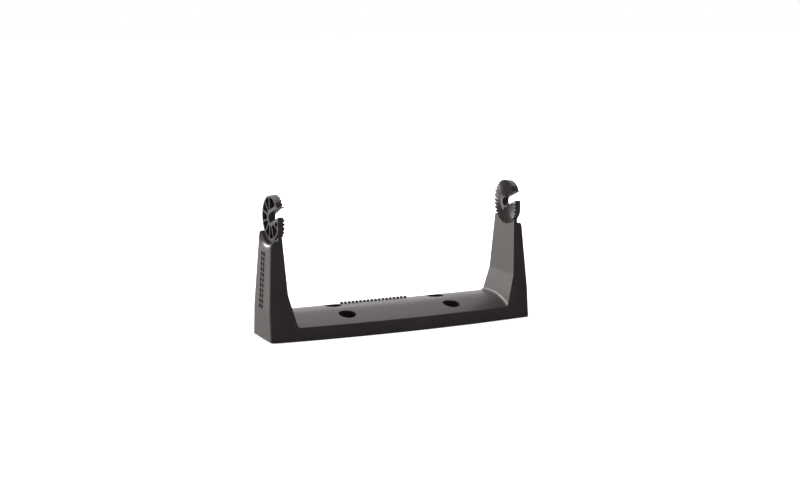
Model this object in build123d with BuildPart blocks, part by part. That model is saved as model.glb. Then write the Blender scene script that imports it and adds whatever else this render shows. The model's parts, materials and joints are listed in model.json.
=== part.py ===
"""Gimbal bracket for a chartplotter, moulded in black plastic.

A long screw-down base carries two upright arms. Each arm ends in a hooked, toothed head:
a clamp stud drops into its slot and the radial teeth hold the display at the chosen tilt.
Millimetres, +Z up, +X to the right, front towards -Y. The origin is the middle of the underside.
"""
import os
from math import atan, cos, degrees, radians, sin, sqrt, tan

from build123d import *

# Base
base_width = 209.6          # over both arms, at the floor, half way front to back
end_depth = 40.6            # front to back at each end, at the floor
bow = 6.0                   # the front and back edges stand this much further out in the middle
front_lean = 5.7            # degrees, front wall from vertical
back_lean = 4.6             # degrees, back wall from vertical
front_edge_height = 9.8     # height of the deck where it meets the front wall
crest_height = 15.8         # highest line of the deck
crest_setback = 28.0        # from the front edge back to the crest
back_deck_radius = 150.0    # deck curvature behind the crest
deck_edge_radius = 0.8
wall = 3.0                  # moulded wall thickness of base and arms

# Arms, as seen from the front
flare_bottom_x = 82.8       # inner face where its line meets the floor
crease_x = 91.7             # inner face where the flare ends
crease_height = 33.5
inner_top_x = 94.2          # inner face at the top of the arm
outer_kink_height = 22.0    # the outer face is upright below this and leans in above it
outer_top_x = 101.5         # outer face at the top of the arm
arm_top = 76.0
outer_kink_radius = 60.0
inner_kink_radius = 6.0
outer_toe = 1.5             # degrees, the outer faces widen towards the front
front_corner_radius = 3.2
back_corner_radius = 3.5
top_edge_radius = 1.4
deck_cove_radius = 2.0      # hollow corner between the deck and each arm
cove_sections = 9
core_top = 60.0             # how far the arm is hollow from below

# Heads
pivot_y = -1.7
pivot_height = 87.0
tip_x = 92.8                # plane of the tooth tips
root_x = 94.6               # plane of the tooth roots, front of the web plate
rim_x = 98.0                # outer plane of the ribbed side
tip_radius = 16.6
rim_radius = 16.0
hub_face_radius = 7.0       # plain hub face inside the teeth, on the side away from the slot
slot_teeth_radius = 4.4     # the teeth nearer the slot run in this far
slot_teeth_span = 116.0     # degrees either way from the middle of those teeth
slot_teeth_middle = 166.0
tooth_count = 32
tooth_depth = 1.3
tooth_clearance = 0.3       # how far the gap cutter stands proud of the tips
gap_share = 0.9             # of the pitch; the rest is the flat crest of a tooth
slot_width = 6.7            # takes an M6 stud
slot_angle = 22.0           # degrees, the slot rises towards the front
jaw_front_y = -16.4         # flat front of the lower jaw
hook_tip = (-13.4, 96.0)    # lower front corner of the upper jaw, cut square to the slot
web_plate = 1.0
rib = 1.1
rim_wall = 1.3
hub_wall = 2.6
slot_wall = 2.4
rib_count = 7
rib_step = 32.0             # degrees between ribs
rib_first = -112.0
jaw_rib = -154.0

# Recess in each arm's outer face, under the head: a groove round the disc with a rounded lip
groove_radius = 19.2
groove_floor_x = 96.9
lip_x = 98.5                # the lip starts to round here
lip_radius = 3.8

# Screw holes
hole_spacing_x = 85.2
hole_spacing_y = 26.0
hole_center_y = 2.1
hole_radius = 2.75          # clears a 5 mm pan-head screw
counterbore_radius = 6.4
counterbore_floor = 4.0
boss_wall = 2.0

# Underside ribs
underside_rib = 2.0
rib_floor_gap = 0.8
cross_ribs = (-64.0, -21.3, 21.3, 64.0)

# Plain raised marks on the left arm and along the back edge of the deck
arm_mark_rows = 11
arm_mark_pitch = 3.8
arm_mark_low = 23.2         # middle of the lowest row
arm_mark_spacing = 4.4      # between the two columns
arm_mark_y = 2.4            # midway between the columns
arm_mark_size = (3.0, 1.3)
arm_mark_height = 0.55
arm_mark_root = 0.8         # the bars are cut back to the arm from this deep
deck_mark_count = 18
deck_mark_pitch = 3.1
deck_mark_center = (-6.2, 22.3)
deck_mark_size = (1.8, 2.4)
deck_mark_height = 1.25
deck_mark_corner = 0.4

half_width = base_width / 2
half_depth = end_depth / 2 + bow
bow_radius = (half_width ** 2 + bow ** 2) / (2 * bow)
front_edge_y = -half_depth + front_edge_height * tan(radians(front_lean))
crest_y = front_edge_y + crest_setback
deck_rise = crest_height - front_edge_height
front_deck_radius = (crest_setback ** 2 + deck_rise ** 2) / (2 * deck_rise)
flare_slope = (crease_x - flare_bottom_x) / crease_height
slant = (half_width - outer_top_x) / (arm_top - outer_kink_height)
disc_cone = degrees(atan((tip_radius - rim_radius) / (rim_x - tip_x)))
tall = 110.0                # beyond the part in height
far = 60.0                  # beyond the part in depth
over = 5.0                  # how far cutters run past a surface
long_edge = 10.0            # edges of the arm longer than this run its whole height
crease_steps = 5            # enough to settle where the deck meets the flare


def revolve_ring(outline, axis_y):
    """Full ring made by turning an outline in the YZ plane about the vertical at axis_y."""
    with BuildPart() as ring:
        with BuildSketch(Plane.YZ):
            with BuildLine():
                Polyline(*outline, close=True)
            make_face()
        revolve(axis=Axis((0, axis_y, 0), (0, 0, 1)))
    return ring.part


def between_walls(inset):
    """Space between the bowed, leaning front and back walls, inset all round."""
    front_in = tall * tan(radians(front_lean))
    back_in = tall * tan(radians(back_lean))
    edge = half_depth - inset
    front = [(-edge, 0), (-edge + front_in, tall), (far, tall), (far, 0)]
    back = [(edge, 0), (edge - back_in, tall), (-far, tall), (-far, 0)]
    with BuildPart() as space:
        add(revolve_ring(front, bow_radius - half_depth))
        add(revolve_ring(back, half_depth - bow_radius), mode=Mode.INTERSECT)
    return space.part


def under_deck(drop):
    """Space under the crowned deck, lowered by drop."""
    crest = crest_height - drop
    reach_front = -half_depth - over
    reach_back = half_depth + over
    front_radius = front_deck_radius - drop
    back_radius = back_deck_radius - drop

    def deck(y, radius):
        return crest - radius + sqrt(radius ** 2 - (y - crest_y) ** 2)

    def arc(y, radius):
        middle = (crest_y + y) / 2
        return (y, deck(y, radius)), (middle, deck(middle, radius)), (crest_y, crest)

    front_end, front_middle, top = arc(reach_front, front_radius)
    back_end, back_middle, top = arc(reach_back, back_radius)
    with BuildPart() as space:
        with BuildSketch(Plane.YZ):
            with BuildLine():
                ThreePointArc(front_end, front_middle, top)
                ThreePointArc(top, back_middle, back_end)
                Polyline(back_end, (reach_back, 0), (reach_front, 0), front_end)
            make_face()
        revolve(axis=Axis((0, bow_radius - half_depth, 0), (0, 0, 1)))
    return space.part


def between_arms(half_length):
    """Solid between the two flare planes, from the floor up, by its half length front to back."""
    low = flare_bottom_x
    high = crease_x
    top = crease_height
    with BuildPart() as block:
        with BuildSketch(Plane.XZ):
            with BuildLine():
                Polyline((-low, 0), (low, 0), (high, top), (-high, top), close=True)
            make_face()
        extrude(amount=half_length, both=True)
    return block.part


def base_block(inset):
    """The base between the two flare planes, solid, inset by a wall where asked."""
    with BuildPart() as block:
        add(between_arms(far))
        add(between_walls(inset), mode=Mode.INTERSECT)
        add(under_deck(inset), mode=Mode.INTERSECT)
    return block.part


def head_blank(outer_x):
    """Slightly tapered disc about the pivot, from the tooth tips out to outer_x."""
    with BuildPart() as blank:
        with BuildSketch(Plane.YZ.offset(tip_x)):
            with Locations((pivot_y, pivot_height)):
                Circle(tip_radius)
        extrude(amount=rim_x - tip_x, taper=disc_cone)
        if outer_x > rim_x:
            with BuildSketch(Plane.YZ.offset(rim_x)):
                with Locations((pivot_y, pivot_height)):
                    Circle(rim_radius)
            extrude(amount=outer_x - rim_x)
    return blank.part


def jaw_fronts(inset):
    """Sketch in front of both jaws, moved back into them by inset."""
    reach = 2 * tip_radius
    square = Location(hook_tip, 180 - slot_angle)
    with BuildSketch() as fronts:
        with Locations((jaw_front_y + inset, pivot_height)):
            Rectangle(reach, reach, align=(Align.MAX, Align.CENTER))
        with Locations(square * Location((-inset, 0))):
            Rectangle(reach, reach, align=(Align.MIN, Align.MAX))
    return fronts.sketch


def slot_shape(width):
    """Sketch of the open slot, or of the slot with walls of its own, by its width."""
    with BuildSketch() as shape:
        with Locations((pivot_y, pivot_height)):
            Circle(slot_width / 2)
        with Locations(Location((pivot_y, pivot_height), 180 - slot_angle)):
            Rectangle(2 * tip_radius, width, align=(Align.MIN, Align.CENTER))
    return shape.sketch


def head_cutter():
    """What is cut from the disc: the open slot and the flat fronts of both jaws."""
    with BuildPart() as cutter:
        with BuildSketch(Plane.YZ.offset(tip_x - over)):
            add(slot_shape(slot_width))
            add(jaw_fronts(0))
        extrude(amount=4 * over)
    return cutter.part


def arm_outline(inset, top):
    """Front view of the right arm, inset by a wall where asked, as a list of corners."""
    inner_slope = (inner_top_x - crease_x) / (arm_top - crease_height)
    outer_x = half_width - slant * (top - outer_kink_height)
    inner_x = crease_x + inner_slope * (top - crease_height)
    return [
        (flare_bottom_x + inset, 0),
        (half_width - inset, 0),
        (half_width - inset, outer_kink_height),
        (outer_x - inset, top),
        (inner_x + inset, top),
        (crease_x + inset, crease_height),
    ]


def arm_block(inset, top):
    """The right arm from the floor to top, solid, inset by a wall where asked."""
    corners = arm_outline(inset, top)
    outer = half_width - inset
    toe_axis = Axis((half_width, 0, 0), (0, 0, 1))
    with BuildPart() as outer_side:
        with BuildSketch(Plane.XZ) as outline:
            with BuildLine():
                Polyline((0, 0), *corners[1:4], (0, top), close=True)
            make_face()
            kink = outline.vertices().sort_by_distance((outer, outer_kink_height))[0]
            fillet(kink, radius=outer_kink_radius)
        extrude(amount=far, both=True)
    with BuildPart() as block:
        with BuildSketch(Plane.XZ) as outline:
            with BuildLine():
                Polyline(corners[0], (tall + far, 0), (tall + far, top), *corners[4:], close=True)
            make_face()
            kink = outline.vertices().sort_by_distance(corners[5])[0]
            fillet(kink, radius=inner_kink_radius)
        extrude(amount=far, both=True)
        add(outer_side.part.rotate(toe_axis, outer_toe), mode=Mode.INTERSECT)
        add(between_walls(inset), mode=Mode.INTERSECT)
    return block.part


def upright_edges(part, front):
    """The long outer edges of the arm, at its front or at its back."""
    edges = [e for e in part.edges() if e.center().X > outer_top_x - 1 and e.length > long_edge]
    uprights = [e for e in edges if abs(e.tangent_at(0.5).Z) > 0.9]
    return [e for e in uprights if (e.center().Y < 0) == front]


def recess_cutter():
    """Groove round the lower half of the disc, with a rounded lip, turned about the pivot."""
    lip_top = groove_radius + lip_radius
    cut = lip_radius * sin(radians(45))
    out = lip_x + lip_radius
    groove = [(groove_floor_x, 0), (groove_floor_x, groove_radius), (lip_x, groove_radius)]
    open_side = [(out, lip_top), (out + over, lip_top), (out + over, 0), groove[0]]
    section = Plane(origin=(0, pivot_y, pivot_height), x_dir=(1, 0, 0), z_dir=(0, -1, 0))
    with BuildPart() as cutter:
        with BuildSketch(section):
            with BuildLine():
                Polyline(*groove)
                ThreePointArc(groove[2], (lip_x + cut, lip_top - cut), open_side[0])
                Polyline(*open_side)
            make_face()
        revolve(axis=Axis(section.origin, (1, 0, 0)))
    return cutter.part


def make_arm():
    with BuildPart() as arm:
        add(arm_block(0, arm_top))
        fillet(upright_edges(arm, front=True), radius=front_corner_radius)
        fillet(upright_edges(arm, front=False), radius=back_corner_radius)
        fillet(arm.faces().sort_by(Axis.Z)[-1].edges().sort_by(Axis.X)[1:], radius=top_edge_radius)
        add(recess_cutter(), mode=Mode.SUBTRACT)
        add(head_blank(half_width), mode=Mode.SUBTRACT)
        add(arm_block(wall, core_top), mode=Mode.SUBTRACT)
    return arm.part


def make_head():
    """Ribbed outer side of the head: web plate, rim, hub, slot walls and spokes."""
    pocket_depth = rim_x - root_x - web_plate
    reach = 2 * tip_radius
    spokes = [rib_first + rib_step * i for i in range(rib_count)] + [jaw_rib]
    pivot = (pivot_y, pivot_height)
    with BuildPart() as head:
        add(head_blank(rim_x))
        with BuildSketch(Plane.YZ.offset(tip_x)):
            with Locations(pivot):
                Circle(reach)
        extrude(amount=root_x - tip_x, mode=Mode.SUBTRACT)
        with BuildSketch(Plane.YZ.offset(rim_x)):
            with Locations(pivot):
                Circle(rim_radius - rim_wall)
                Circle(slot_width / 2 + hub_wall, mode=Mode.SUBTRACT)
            add(slot_shape(slot_width + 2 * slot_wall), mode=Mode.SUBTRACT)
            for angle in spokes:
                with Locations(Location(pivot, angle)):
                    Rectangle(reach, rib, align=(Align.MIN, Align.CENTER), mode=Mode.SUBTRACT)
            add(jaw_fronts(rim_wall), mode=Mode.SUBTRACT)
        extrude(amount=-pocket_depth, mode=Mode.SUBTRACT)
        add(head_cutter(), mode=Mode.SUBTRACT)
    return head.part


def tooth_gap(inner_radius):
    """Wedge between two neighbouring teeth, pointing straight up from the pivot."""
    root = (tip_x + tooth_depth, 0)
    top_x = tip_x - tooth_clearance
    widening = (tooth_depth + tooth_clearance) / tooth_depth
    with BuildPart() as gap:
        for radius in (inner_radius, tip_radius + 2 * tooth_depth):
            half_gap = gap_share / 2 * radius * radians(360 / tooth_count) * widening
            across = Plane(origin=(0, pivot_y, pivot_height + radius), x_dir=(1, 0, 0), z_dir=(0, 0, 1))
            with BuildSketch(across):
                with BuildLine():
                    Polyline((top_x, -half_gap), (top_x, half_gap), root, close=True)
                make_face()
        loft()
    return gap.part


def tooth_gaps():
    """All the gaps round the disc, longer on the side of the slot."""
    axis = Axis((0, pivot_y, pivot_height), (1, 0, 0))
    short_gap = tooth_gap(hub_face_radius)
    long_gap = tooth_gap(slot_teeth_radius)
    gaps = []
    for i in range(tooth_count):
        angle = 360 / tooth_count * (i + 0.5)
        off_middle = (angle + 90 - slot_teeth_middle + 180) % 360 - 180
        gap = long_gap if abs(off_middle) < slot_teeth_span else short_gap
        gaps.append(gap.rotate(axis, angle))
    return gaps


def make_teeth():
    """Radial teeth round a plain hub face, on the inner side of the head."""
    with BuildPart() as teeth:
        add(head_blank(rim_x))
        with BuildSketch(Plane.YZ.offset(root_x)):
            with Locations((pivot_y, pivot_height)):
                Circle(2 * tip_radius)
        extrude(amount=rim_x - root_x, mode=Mode.SUBTRACT)
        add(tooth_gaps(), mode=Mode.SUBTRACT)
        add(head_cutter(), mode=Mode.SUBTRACT)
    return teeth.part


def screw_places():
    xs = (-hole_spacing_x / 2, hole_spacing_x / 2)
    ys = (hole_center_y - hole_spacing_y / 2, hole_center_y + hole_spacing_y / 2)
    return Locations(*[(x, y) for x in xs for y in ys])


def deck_height(x, y):
    """Height of the deck's top face at a place on the base."""
    axis_y = bow_radius - half_depth
    ring_y = axis_y - sqrt(x ** 2 + (axis_y - y) ** 2)
    radius = front_deck_radius if ring_y < crest_y else back_deck_radius
    return crest_height - radius + sqrt(radius ** 2 - (ring_y - crest_y) ** 2)


def crease_point(y):
    """Where the deck meets the right flare plane, in the section at y."""
    x = flare_bottom_x
    for step in range(crease_steps):
        x = flare_bottom_x + flare_slope * deck_height(x, y)
    return x, deck_height(x, y)


def make_cove():
    """Hollow rounded corner between the deck and the right arm."""
    reach = deck_cove_radius
    depth = wall / 2
    near_corner = 1 - sin(radians(45))
    with BuildPart() as cove:
        for i in range(cove_sections):
            y = half_depth * (2 * i / (cove_sections - 1) - 1)
            x, z = crease_point(y)
            upper = (x + flare_slope * reach, z + reach)
            inner = (x - reach, deck_height(x - reach, y))
            middle_x = x + near_corner * (upper[0] - x + inner[0] - x)
            middle_z = z + near_corner * (upper[1] - z + inner[1] - z)
            with BuildSketch(Plane.XZ.offset(-y)):
                with BuildLine():
                    ThreePointArc(upper, (middle_x, middle_z), inner)
                    Polyline(inner, (inner[0], inner[1] - depth), (x + depth, z - depth))
                    Polyline((x + depth, z - depth), (upper[0] + depth, upper[1]), upper)
                make_face()
        loft()
        add(between_arms(far), mode=Mode.INTERSECT)
        add(between_walls(0), mode=Mode.INTERSECT)
    return cove.part


def deck_edges(part):
    """The long front and back edges of the deck."""
    long_edges = [e for e in part.edges() if e.length > base_width / 2 and e.center().Z > 1]
    return [e for e in long_edges if abs(e.center().Y) > half_depth - over]


def make_base_shell():
    """Deck with its front and back walls, open underneath and at both ends."""
    with BuildPart() as shell:
        add(base_block(0))
        fillet(deck_edges(shell), radius=deck_edge_radius)
        add(make_cove())
        add(make_cove().mirror(Plane.YZ))
        add(base_block(wall), mode=Mode.SUBTRACT)
        with BuildSketch(Plane.XY):
            with screw_places():
                Circle(counterbore_radius)
        extrude(amount=crest_height + over, mode=Mode.SUBTRACT)
    return shell.part


def make_bosses():
    """Four screw bosses that stand on the floor and reach up to the deck."""
    with BuildPart() as bosses:
        with BuildSketch(Plane.XY):
            with screw_places():
                Circle(counterbore_radius + boss_wall)
        extrude(amount=crest_height + over)
        add(base_block(wall), mode=Mode.INTERSECT)
        with BuildSketch(Plane.XY.offset(counterbore_floor)):
            with screw_places():
                Circle(counterbore_radius)
        extrude(amount=crest_height, mode=Mode.SUBTRACT)
        with BuildSketch(Plane.XY):
            with screw_places():
                Circle(hole_radius)
        extrude(amount=crest_height, mode=Mode.SUBTRACT)
    return bosses.part


def make_underside_ribs():
    """One long rib and four cross ribs under the deck, clear of the screw bosses."""
    with BuildPart() as ribs:
        with BuildSketch(Plane.XY.offset(rib_floor_gap)):
            Rectangle(base_width, underside_rib)
            with Locations(*[(x, 0) for x in cross_ribs]):
                Rectangle(underside_rib, end_depth + 2 * bow)
            with screw_places():
                Circle(counterbore_radius + boss_wall, mode=Mode.SUBTRACT)
        extrude(amount=crest_height)
        add(base_block(wall), mode=Mode.INTERSECT)
    return ribs.part


def make_arm_marks(left_arm):
    """Two columns of plain raised bars on the left arm's outer face."""
    lean = atan(slant)
    toe = radians(outer_toe)
    outwards = (-cos(lean) * cos(toe), cos(lean) * sin(toe), sin(lean))
    foot = (-half_width, arm_mark_y, outer_kink_height)
    face = Plane(origin=foot, x_dir=(-sin(toe), -cos(toe), 0), z_dir=outwards)
    middle = arm_mark_low + arm_mark_pitch * (arm_mark_rows - 1) / 2
    with BuildPart() as marks:
        with BuildSketch(face.offset(-arm_mark_root)):
            with Locations((0, (middle - outer_kink_height) / cos(lean))):
                with GridLocations(arm_mark_spacing, arm_mark_pitch, 2, arm_mark_rows):
                    SlotOverall(*arm_mark_size, rotation=90)
        extrude(amount=arm_mark_root + arm_mark_height)
        add(left_arm, mode=Mode.SUBTRACT)
    return marks.part


def make_deck_marks():
    """Row of plain raised bars along the back edge of the deck.

    The deck surfaces are turned half round, so that their seam is clear of the bars.
    """
    ring_axis = Axis((0, bow_radius - half_depth, 0), (0, 0, 1))
    with BuildPart() as marks:
        with BuildSketch(Plane.XY):
            with Locations(deck_mark_center):
                with GridLocations(deck_mark_pitch, 1, deck_mark_count, 1):
                    RectangleRounded(*deck_mark_size, radius=deck_mark_corner)
        extrude(amount=crest_height + over)
        add(under_deck(-deck_mark_height).rotate(ring_axis, 180), mode=Mode.INTERSECT)
        add(under_deck(0).rotate(ring_axis, 180), mode=Mode.SUBTRACT)
    return marks.part


def write(name, part):
    part.label = name
    export_step(part, f"parts/{name}.step")


os.makedirs("parts", exist_ok=True)
write("base_shell", make_base_shell())
write("screw_bosses", make_bosses())
write("underside_ribs", make_underside_ribs())
write("deck_marks", make_deck_marks())
right_arm = make_arm()
write("left_arm_marks", make_arm_marks(right_arm.mirror(Plane.YZ)))
for piece, right in (("arm", right_arm), ("head", make_head()), ("tooth_ring", make_teeth())):
    write(f"right_{piece}", right)
    write(f"left_{piece}", right.mirror(Plane.YZ))
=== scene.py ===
"""Gimbal bracket for a chartplotter: one moulding in black plastic, on a pale floor.

Lengths are in metres. The CAD nodes keep their shape and place; this script gives them their
materials and adds the floor, the studio light and the camera.
"""

import json
import math

import bpy
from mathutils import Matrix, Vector

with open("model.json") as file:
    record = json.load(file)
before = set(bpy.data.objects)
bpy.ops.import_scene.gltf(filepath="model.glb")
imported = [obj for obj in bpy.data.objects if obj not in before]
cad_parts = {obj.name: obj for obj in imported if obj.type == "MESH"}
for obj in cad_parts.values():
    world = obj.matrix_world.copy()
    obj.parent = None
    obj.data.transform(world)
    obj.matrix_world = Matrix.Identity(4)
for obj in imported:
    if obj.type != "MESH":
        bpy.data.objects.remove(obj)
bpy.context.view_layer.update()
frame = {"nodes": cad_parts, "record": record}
nodes = frame["nodes"]

SLOTS = {part["node"]: part["material_slot"] for part in frame["record"]["subparts"]}
TEETH = ("right_head", "right_tooth_ring")      # the toothed face that the photo shows


# ---------- node helpers ----------

NOISE_LOW, NOISE_HIGH = 0.3, 0.7                # most of a noise texture lies between these


class Tree:
    """Adds and links the shader nodes of one material or world."""

    def __init__(self, owner, coordinates):
        owner.use_nodes = True
        self.nodes = owner.node_tree.nodes
        self.links = owner.node_tree.links
        self.coords = self.add("ShaderNodeTexCoord").outputs[coordinates]

    def add(self, kind, **values):
        node = self.nodes.new(kind)
        for key, value in values.items():
            setattr(node, key, value)
        return node

    def link(self, a, b):
        self.links.new(a, b)

    def noise(self, scale, detail, roughness=0.5, stretch=None):
        """Noise with this many cells per metre, multiplied along each axis by the stretch."""
        node = self.add("ShaderNodeTexNoise")
        node.inputs["Scale"].default_value = scale
        node.inputs["Detail"].default_value = detail
        node.inputs["Roughness"].default_value = roughness
        source = self.coords
        if stretch:
            mapping = self.add("ShaderNodeMapping")
            mapping.inputs["Scale"].default_value = stretch
            self.link(self.coords, mapping.inputs["Vector"])
            source = mapping.outputs["Vector"]
        self.link(source, node.inputs["Vector"])
        return node.outputs["Fac"]

    def ramp(self, value, low, high, start=NOISE_LOW, end=NOISE_HIGH, shape="LINEAR"):
        """Goes from low to high while the value goes from start to end, and no further."""
        node = self.add("ShaderNodeMapRange", clamp=True, interpolation_type=shape)
        node.inputs["From Min"].default_value = start
        node.inputs["From Max"].default_value = end
        node.inputs["To Min"].default_value = low
        node.inputs["To Max"].default_value = high
        self.link(value, node.inputs["Value"])
        return node.outputs["Result"]

    def colour(self, share, first, second):
        """Goes from the first colour to the second as the share goes from 0 to 1."""
        node = self.add("ShaderNodeMix", data_type="RGBA")
        node.inputs["A"].default_value = (*first, 1)
        node.inputs["B"].default_value = (*second, 1)
        self.link(share, node.inputs["Factor"])
        return node.outputs["Result"]

    def math(self, kind, a, b):
        """Arithmetic on two values, each a number or the output of a node."""
        node = self.add("ShaderNodeMath", operation=kind)
        for socket, value in zip(node.inputs, (a, b)):
            if isinstance(value, (int, float)):
                socket.default_value = value
            else:
                self.link(value, socket)
        return node.outputs["Value"]

    def bump(self, height, strength, distance, normal=None):
        """Relief of this height in metres, over another relief if one is given."""
        node = self.add("ShaderNodeBump")
        node.inputs["Strength"].default_value = strength
        node.inputs["Distance"].default_value = distance
        self.link(height, node.inputs["Height"])
        if normal:
            self.link(normal, node.inputs["Normal"])
        return node.outputs["Normal"]


def new_material(name):
    """A new material, its node tree and its shader."""
    material = bpy.data.materials.new(name)
    tree = Tree(material, "Object")
    return material, tree, tree.nodes["Principled BSDF"]


# ---------- the moulding ----------

PLASTICS = {                  # darkest and lightest colour, least and most roughness, grain strength
    "bracket_plastic": ((0.0212, 0.0160, 0.0150), (0.0312, 0.0240, 0.0225), 0.36, 0.46, 0.35),
    "tooth_plastic": ((0.0212, 0.0160, 0.0150), (0.0330, 0.0255, 0.0240), 0.30, 0.42, 0.2),
    # the letters' darker colours are painted shade, standing in for the shaded sides of their raised
    # relief; their higher roughness is their own
    "mark_plastic": ((0.0130, 0.0100, 0.0095), (0.0200, 0.0155, 0.0148), 0.44, 0.54, 0.1),
}
PLASTIC_IOR = 1.5

GRAIN_CELLS = 2600            # per metre
GRAIN_HEIGHT = 0.00005
GRAIN_SHEEN = 0.03            # how far the grain takes the roughness up and down

CLOUD_CELLS = 38
CLOUD_SHARE = 0.45            # of the mottle, and the flow marks are the rest

FLOW_CELLS = 150
FLOW_STRETCH = (0.25, 1.0, 0.06)                # long up the arms, and fairly long along the deck
FLOW_HEIGHT = 0.0005
FLOW_STRENGTH = 0.4


def moulded_plastic(name, dark, light, smooth, rough, grain_strength):
    """Black moulded plastic: fine spark-eroded grain, faint flow marks and uneven sheen."""
    material, tree, shader = new_material(name)
    grain = tree.noise(GRAIN_CELLS, detail=2, roughness=0.6)
    cloud = tree.noise(CLOUD_CELLS, detail=4, roughness=0.55)
    flow = tree.noise(FLOW_CELLS, detail=2, stretch=FLOW_STRETCH)
    mottle = tree.math(
        "ADD",
        tree.math("MULTIPLY", cloud, CLOUD_SHARE),
        tree.math("MULTIPLY", flow, 1 - CLOUD_SHARE))
    roughness = tree.math(
        "ADD",
        tree.ramp(mottle, smooth, rough),
        tree.ramp(grain, -GRAIN_SHEEN, GRAIN_SHEEN))
    waves = tree.bump(flow, FLOW_STRENGTH, FLOW_HEIGHT)
    relief = tree.bump(grain, grain_strength, GRAIN_HEIGHT, waves)
    tree.link(tree.colour(tree.ramp(mottle, 0, 1), dark, light), shader.inputs["Base Color"])
    tree.link(roughness, shader.inputs["Roughness"])
    tree.link(relief, shader.inputs["Normal"])
    shader.inputs["IOR"].default_value = PLASTIC_IOR
    return material


def paint_nodes():
    """Give each CAD node the plastic that its slot in the record names."""
    plastics = {name: moulded_plastic(name, *look) for name, look in PLASTICS.items()}
    for name, obj in nodes.items():
        obj.data.materials.clear()
        obj.data.materials.append(plastics[SLOTS[name]])


# ---------- floor ----------

FLOOR_REACH = 5.0             # from the middle of the floor to its sides
PAPER_DARK = (0.86, 0.895, 0.905)
PAPER_LIGHT = (0.88, 0.915, 0.925)
PAPER_CELLS = 6
PAPER_ROUGHNESS = 0.9
PAPER_SHINE = 0.2


def floor_material():
    """Matt white paper, a little cooler than the light so that it comes out neutral."""
    material, tree, shader = new_material("floor_paper")
    tone = tree.ramp(tree.noise(PAPER_CELLS, detail=2), 0, 1)
    tree.link(tree.colour(tone, PAPER_DARK, PAPER_LIGHT), shader.inputs["Base Color"])
    shader.inputs["Roughness"].default_value = PAPER_ROUGHNESS
    shader.inputs["Specular IOR Level"].default_value = PAPER_SHINE
    return material


def make_floor():
    """Pale sheet under the bracket, left out of its reflections as by a matt black flag."""
    mesh = bpy.data.meshes.new("floor")
    reach = FLOOR_REACH
    corners = [(-reach, -reach, 0), (reach, -reach, 0), (reach, reach, 0), (-reach, reach, 0)]
    mesh.from_pydata(corners, [], [(0, 1, 2, 3)])
    floor = bpy.data.objects.new("floor", mesh)
    bpy.context.scene.collection.objects.link(floor)
    mesh.materials.append(floor_material())
    floor.visible_glossy = False
    return floor


# ---------- light ----------

WHITE = (1.0, 1.0, 1.0)
WARM = (1.0, 0.955, 0.94)
ROSE = (0.99, 0.965, 0.985)

AMBIENT = 0.045               # radiance from every side
LOBES = (                     # direction, cosine where the lobe starts and is full, radiance
    ((0.05, 0.99, 0.0), -0.1, 0.7, 0.58),       # behind the bracket
    ((0.0, 0.1, 1.0), 0.45, 0.9, 1.5),          # above it
    ((-0.62, 0.78, 0.10), 0.88, 0.985, 2.15),   # behind on the left, for the faces that look left
    ((0.45, 0.89, -0.06), 0.94, 0.985, 1.7),    # straight across from the camera, at the horizon
)

TOOTH_TARGET = (0.093, 0.0, 0.087)              # the right tooth ring
LIP_TARGET = (-0.10, -0.012, 0.066)             # the rounded lip under the left head
FLOOR_TARGET = (0.0, 0.0, 0.0)


def tent_radiance(tree):
    """Sum of the ambient light and all the lobes, in the direction that is looked in."""
    total = AMBIENT
    for axis, start, full, radiance in LOBES:
        towards = tree.add("ShaderNodeVectorMath", operation="DOT_PRODUCT")
        towards.inputs[1].default_value = Vector(axis).normalized()
        tree.link(tree.coords, towards.inputs[0])
        level = tree.ramp(towards.outputs["Value"], 0, radiance, start, full, "SMOOTHSTEP")
        total = tree.math("ADD", level, total)
    return total


def make_world():
    """Light tent: soft light from above and behind, dim in front, white to the camera."""
    world = bpy.data.worlds.new("studio")
    bpy.context.scene.world = world
    tree = Tree(world, "Generated")
    split = tree.add("ShaderNodeSeparateXYZ")
    tree.link(tree.coords, split.inputs["Vector"])
    tent = tree.nodes["Background"]
    tree.link(tree.colour(split.outputs["Z"], WARM, ROSE), tent.inputs["Color"])
    tree.link(tent_radiance(tree), tent.inputs["Strength"])
    backdrop = tree.add("ShaderNodeBackground")
    backdrop.inputs["Color"].default_value = (*WHITE, 1)
    path = tree.add("ShaderNodeLightPath")
    mix = tree.add("ShaderNodeMixShader")
    tree.link(path.outputs["Is Camera Ray"], mix.inputs["Fac"])
    tree.link(tent.outputs["Background"], mix.inputs[1])
    tree.link(backdrop.outputs["Background"], mix.inputs[2])
    tree.link(mix.outputs["Shader"], tree.nodes["World Output"].inputs["Surface"])


def aim(obj, target):
    """Turn a light or a camera towards a point."""
    obj.rotation_mode = "QUATERNION"
    obj.rotation_quaternion = (Vector(target) - obj.location).to_track_quat("-Z", "Y")


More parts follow.
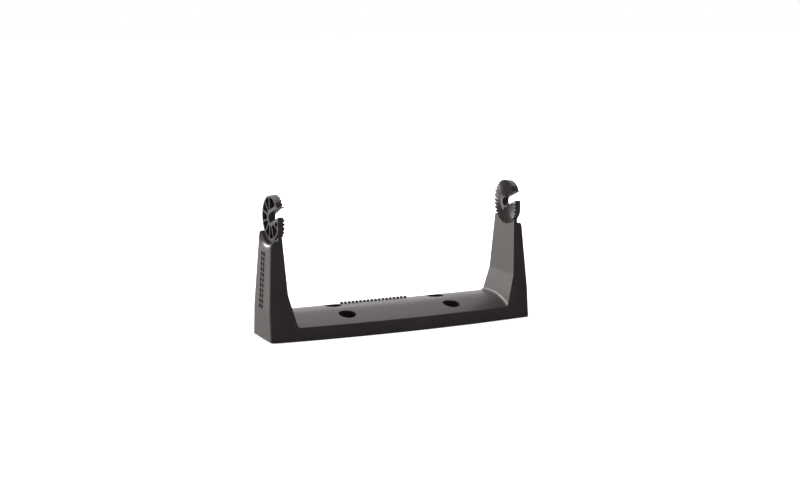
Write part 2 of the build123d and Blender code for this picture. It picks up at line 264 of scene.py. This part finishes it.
def softbox(name, place, target, side, power, tint, lit):
    """Square area light, flagged so that it reaches only the objects in lit."""
    data = bpy.data.lights.new(name, "AREA")
    data.shape = "SQUARE"
    data.size = side
    data.energy = power
    data.color = tint
    light = bpy.data.objects.new(name, data)
    bpy.context.scene.collection.objects.link(light)
    light.location = place
    light.visible_camera = False
    aim(light, target)
    receivers = bpy.data.collections.new(name + "_receivers")
    for obj in lit:
        receivers.objects.link(obj)
    light.light_linking.receiver_collection = receivers


def add_softboxes(floor):
    """Three boxes above and behind the bracket, and an even one that keeps the paper white."""
    teeth = [nodes[name] for name in TEETH]
    boxes = (                 # name, place, target, side, power in watts, tint, what it lights
        ("lip_box", (-0.148, 0.336, 0.254), LIP_TARGET, 0.08, 1.7, WARM, nodes.values()),
        ("tooth_box", (-0.187, 0.046, 0.367), TOOTH_TARGET, 0.10, 0.75, WARM, teeth),
        ("tooth_back_box", (0.021, 0.353, 0.259), TOOTH_TARGET, 0.06, 0.5, WARM, teeth),
        ("floor_box", (0.0, 0.0, 2.6), FLOOR_TARGET, 6.0, 180, WHITE, [floor]),
    )
    for box in boxes:
        softbox(*box)


# ---------- camera ----------

AZIMUTH = math.radians(-25.64)
ELEVATION = math.radians(10.29)
DISTANCE = 1.18308
TARGET = Vector((0, 0, 0.05))
VIEW_WIDTH = 0.5925926        # what the picture takes in from side to side, at the target
SENSOR = 36.0                 # in millimetres, as the lens is
SHIFT = (0.0078625, 0.0104625)                  # parts of the picture's width


def make_camera():
    """Camera at the photo's angle, with its picture shifted as the photo's is."""
    data = bpy.data.cameras.new("camera")
    data.sensor_width = SENSOR
    data.lens = SENSOR * DISTANCE / VIEW_WIDTH
    data.shift_x, data.shift_y = SHIFT
    camera = bpy.data.objects.new("camera", data)
    bpy.context.scene.collection.objects.link(camera)
    towards_camera = Vector((
        math.sin(AZIMUTH) * math.cos(ELEVATION),
        -math.cos(AZIMUTH) * math.cos(ELEVATION),
        math.sin(ELEVATION)))
    camera.location = TARGET + towards_camera * DISTANCE
    aim(camera, TARGET)
    bpy.context.scene.camera = camera


paint_nodes()
make_world()
add_softboxes(make_floor())
make_camera()
bpy.context.scene.view_settings.view_transform = "Standard"
